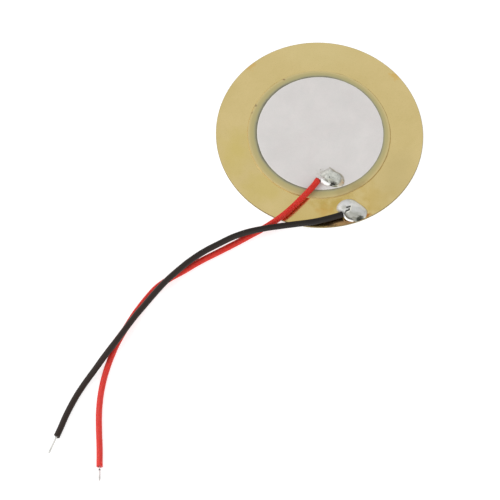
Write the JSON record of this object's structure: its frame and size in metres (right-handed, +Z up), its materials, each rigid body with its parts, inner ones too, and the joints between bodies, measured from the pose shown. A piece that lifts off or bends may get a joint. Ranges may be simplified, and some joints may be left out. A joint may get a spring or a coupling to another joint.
{
  "type": "piezo disc",
  "caption": "Thin round metal plate with a bonded ceramic disc, a silver electrode and soldered flexible leads that end in stripped tips.",
  "frame": {"origin": "centre of the brass plate's underside", "axes": "+Z up out of the face that carries the ceramic; the leads run out towards -X and -Y, and the row rests on Z = 0"},
  "size_m": [0.0592, 0.0824, 0.0024],
  "materials": {
    "brass": "rolled sheet, lightly tarnished, semi-gloss",
    "adhesive": "thin cured epoxy, clear amber",
    "ceramic": "fired piezoceramic, matt, olive buff",
    "silver": "screen-printed fired silver, matt pale grey",
    "solder": "dull tin solder with flux residue",
    "tinned_copper": "bright tinned strands",
    "red_pvc": "smooth extruded PVC, satin",
    "black_pvc": "smooth extruded PVC, satin"
  },
  "bodies": {
    "root": {"brass_plate": "brass", "bond_layer": "adhesive", "lower_electrode": "silver", "ceramic_disc": "ceramic", "upper_electrode": "silver", "electrode_solder": "solder", "plate_solder": "solder", "red_conductor": "tinned_copper", "red_insulation": "red_pvc", "black_conductor": "tinned_copper", "black_insulation": "black_pvc"}
  },
  "joints": []
}
